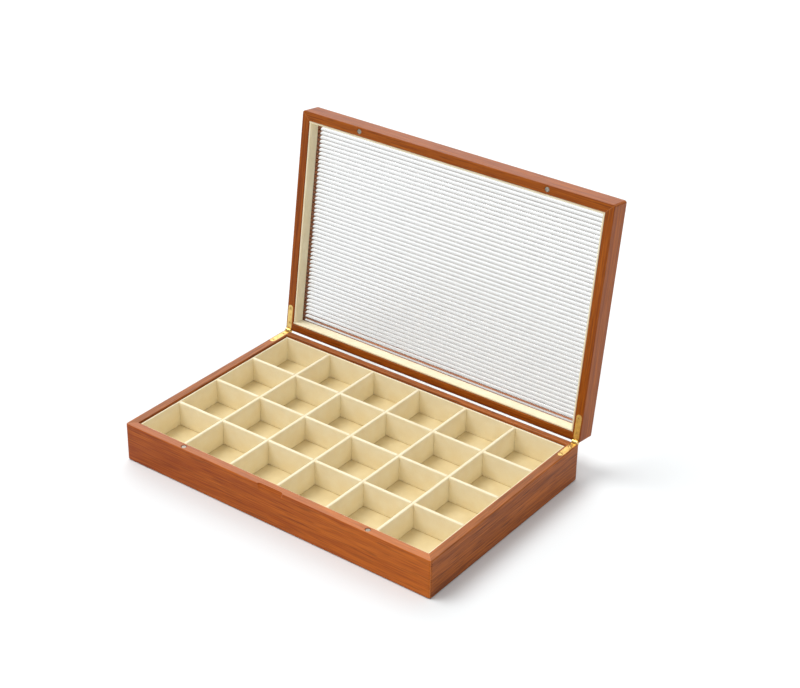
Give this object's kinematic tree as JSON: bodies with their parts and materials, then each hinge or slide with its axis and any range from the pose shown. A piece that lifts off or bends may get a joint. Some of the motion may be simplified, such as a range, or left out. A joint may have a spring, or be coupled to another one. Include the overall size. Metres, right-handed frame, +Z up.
{
  "type": "cufflink display box",
  "caption": "Shallow wooden display box with a velvet-lined grid of compartments and a hinged lid holding a ribbed clear panel.",
  "frame": {"origin": "centre of the underside of the base, on the surface it stands on", "axes": "+X along the front to the right as seen from the front, +Y from the front to the hinged rear, +Z up; stored with the lid open as in the picture"},
  "size_m": [0.28, 0.2266, 0.2138],
  "materials": {
    "stained_wood": "satin",
    "panel_board": "satin",
    "felt": "matt",
    "velvet": "velvet",
    "clear_panel": "clear, ribbed on one side",
    "brass": "polished",
    "nickel": "nickel plated"
  },
  "bodies": {
    "base": {"base_front_rail": "stained_wood", "base_rear_rail": "stained_wood", "base_left_rail": "stained_wood", "base_right_rail": "stained_wood", "bottom_panel": "panel_board", "base_felt": "felt", "floor_board": "velvet", "base_liner_front": "velvet", "base_liner_rear": "velvet", "base_liner_left": "velvet", "base_liner_right": "velvet", "lengthwise_divider_1": "velvet", "lengthwise_divider_2": "velvet", "lengthwise_divider_3": "velvet", "crosswise_divider_1": "velvet", "crosswise_divider_2": "velvet", "crosswise_divider_3": "velvet", "crosswise_divider_4": "velvet", "crosswise_divider_5": "velvet", "base_magnets": "nickel", "hinge_leaf_base_left": "brass", "hinge_leaf_base_right": "brass", "hinge_pin_left": "brass", "hinge_pin_right": "brass", "base_hinge_screws": "brass"},
    "lid": {"lid_front_rail": "stained_wood", "lid_rear_rail": "stained_wood", "lid_left_rail": "stained_wood", "lid_right_rail": "stained_wood", "ribbed_panel": "clear_panel", "lid_liner_front": "velvet", "lid_liner_rear": "velvet", "lid_liner_left": "velvet", "lid_liner_right": "velvet", "lid_magnets": "nickel", "hinge_leaf_lid_left": "brass", "hinge_leaf_lid_right": "brass", "lid_hinge_screws": "brass"}
  },
  "joints": [
    {"name": "lid_hinge", "type": "hinge", "parent": "base", "child": "lid", "pos_m": [0, 0.09185, 0.0316], "axis": [1, 0, 0], "range_deg": [0, 97.84]}
  ]
}
